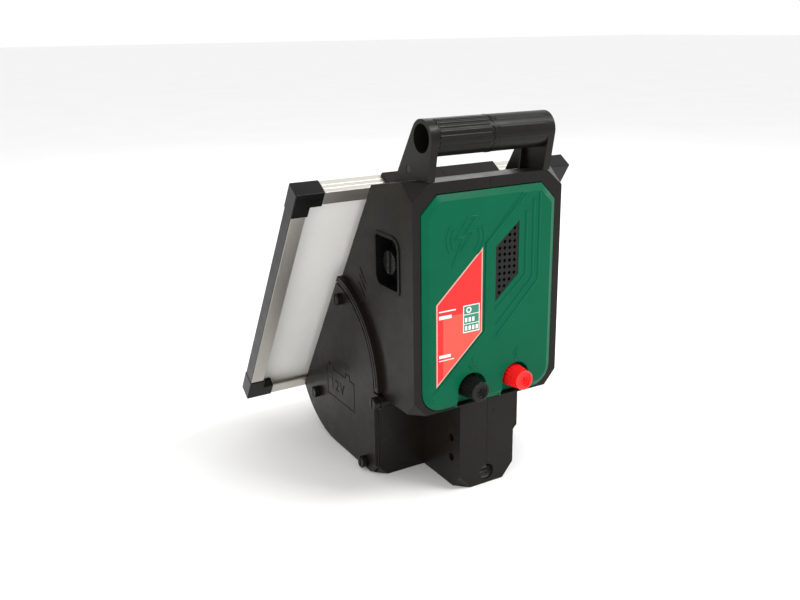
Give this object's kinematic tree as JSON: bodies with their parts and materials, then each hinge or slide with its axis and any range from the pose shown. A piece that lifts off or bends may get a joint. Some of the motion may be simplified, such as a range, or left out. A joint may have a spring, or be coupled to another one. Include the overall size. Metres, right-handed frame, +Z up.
{
  "type": "solar fence energizer",
  "caption": "Portable electric fence energizer: black case with carrying handle, green front with two terminals, drum-shaped battery box, stake socket and a tilted solar panel on its back.",
  "frame": {"origin": "on the flat base under the battery box, midway between the two sides", "axes": "+X to the object's right, seen from behind its green front looking out; +Y to the back, towards the solar panel; +Z up"},
  "size_m": [0.3494, 0.3089, 0.4015],
  "materials": {
    "housing_black": "dark satin moulded plastic with a fine grain",
    "cover_green": "green satin moulded plastic",
    "label_red": "printed red plate",
    "grille_black": "black moulded grille",
    "seal_rubber": "black rubber",
    "knob_black": "black fluted knob",
    "knob_red": "red fluted knob",
    "zinc_steel": "zinc plated steel",
    "panel_aluminium": "satin anodised aluminium extrusion",
    "backsheet_white": "white laminated sheet",
    "solar_glass": "dark blue cells under glass",
    "cap_black": "black moulded corner",
    "battery_grey": "grey plastic case",
    "foam": "foam pad",
    "board_green": "circuit board",
    "core_iron": "laminated core",
    "coil_brown": "varnished winding",
    "capacitor_grey": "plastic can",
    "lamp_green": "green lens",
    "lead_red": "red insulated lead",
    "lead_black": "black insulated lead"
  },
  "bodies": {
    "energizer": {"housing_left": "housing_black", "housing_right": "housing_black", "handle_left": "housing_black", "handle_right": "housing_black", "switch_recess_cup": "housing_black", "front_cover": "cover_green", "label_plate": "label_red", "grille": "grille_black", "cover_seal": "seal_rubber", "battery_grommet": "seal_rubber", "panel_grommet": "seal_rubber", "ground_stud": "zinc_steel", "fence_stud": "zinc_steel", "ground_nut": "zinc_steel", "fence_nut": "zinc_steel", "stake_tube": "zinc_steel", "clamp_nut": "zinc_steel", "housing_screw_1": "zinc_steel", "housing_screw_2": "zinc_steel", "housing_screw_3": "zinc_steel", "housing_screw_4": "zinc_steel", "housing_screw_5": "zinc_steel", "handle_left_screw": "zinc_steel", "handle_right_screw": "zinc_steel", "panel_screw_left": "zinc_steel", "panel_screw_right": "zinc_steel", "battery_tab_plus": "zinc_steel", "battery_tab_minus": "zinc_steel", "panel_rail_top": "panel_aluminium", "panel_rail_bottom": "panel_aluminium", "panel_rail_left": "panel_aluminium", "panel_rail_right": "panel_aluminium", "panel_backsheet": "backsheet_white", "panel_laminate": "solar_glass", "corner_cap_top_left": "cap_black", "corner_cap_top_right": "cap_black", "corner_cap_bottom_left": "cap_black", "corner_cap_bottom_right": "cap_black", "junction_box": "cap_black", "battery": "battery_grey", "battery_pad": "foam", "circuit_board": "board_green", "transformer_core": "core_iron", "transformer_coil": "coil_brown", "pulse_capacitor": "capacitor_grey", "switch_body": "capacitor_grey", "indicator_light": "lamp_green", "battery_lead_plus": "lead_red", "battery_lead_minus": "lead_black", "panel_lead": "lead_black"},
    "ground_knob": {"ground_knob": "knob_black"},
    "fence_knob": {"fence_knob": "knob_red"},
    "switch_knob": {"switch_knob": "knob_black"},
    "battery_cover": {"battery_cover": "housing_black", "battery_cover_seal": "seal_rubber"},
    "clamp_screw": {"clamp_screw": "zinc_steel"},
    "cover_screw_1": {"cover_screw_1": "knob_black"},
    "cover_screw_2": {"cover_screw_2": "knob_black"},
    "cover_screw_3": {"cover_screw_3": "knob_black"},
    "cover_screw_4": {"cover_screw_4": "knob_black"}
  },
  "joints": [
    {"name": "ground_knob_turn", "type": "hinge", "parent": "energizer", "child": "ground_knob", "pos_m": [-0.0239, -0.135, 0.1216], "axis": [0, 1, 0], "continuous": true},
    {"name": "fence_knob_turn", "type": "hinge", "parent": "energizer", "child": "fence_knob", "pos_m": [0.0329, -0.135, 0.1216], "axis": [0, 1, 0], "continuous": true},
    {"name": "switch_knob_turn", "type": "hinge", "parent": "energizer", "child": "switch_knob", "pos_m": [-0.08, -0.072, 0.252], "axis": [1, 0, 0], "range_deg": [0, 90]},
    {"name": "battery_cover_pull", "type": "slide", "parent": "energizer", "child": "battery_cover", "axis": [-1, 0, 0], "range_m": [0, 0.06]},
    {"name": "clamp_screw_turn", "type": "hinge", "parent": "energizer", "child": "clamp_screw", "pos_m": [0, -0.115, 0.0133], "axis": [0, 1, 0], "continuous": true},
    {"name": "cover_screw_1_turn", "type": "hinge", "parent": "battery_cover", "child": "cover_screw_1", "pos_m": [-0.1, 0.0209, 0.1902], "axis": [1, 0, 0], "continuous": true},
    {"name": "cover_screw_2_turn", "type": "hinge", "parent": "battery_cover", "child": "cover_screw_2", "pos_m": [-0.1, 0.0938, 0.0501], "axis": [1, 0, 0], "continuous": true},
    {"name": "cover_screw_3_turn", "type": "hinge", "parent": "battery_cover", "child": "cover_screw_3", "pos_m": [-0.1, -0.0304, 0.0098], "axis": [1, 0, 0], "continuous": true},
    {"name": "cover_screw_4_turn", "type": "hinge", "parent": "battery_cover", "child": "cover_screw_4", "pos_m": [-0.1, -0.0626, 0.0943], "axis": [1, 0, 0], "continuous": true}
  ]
}
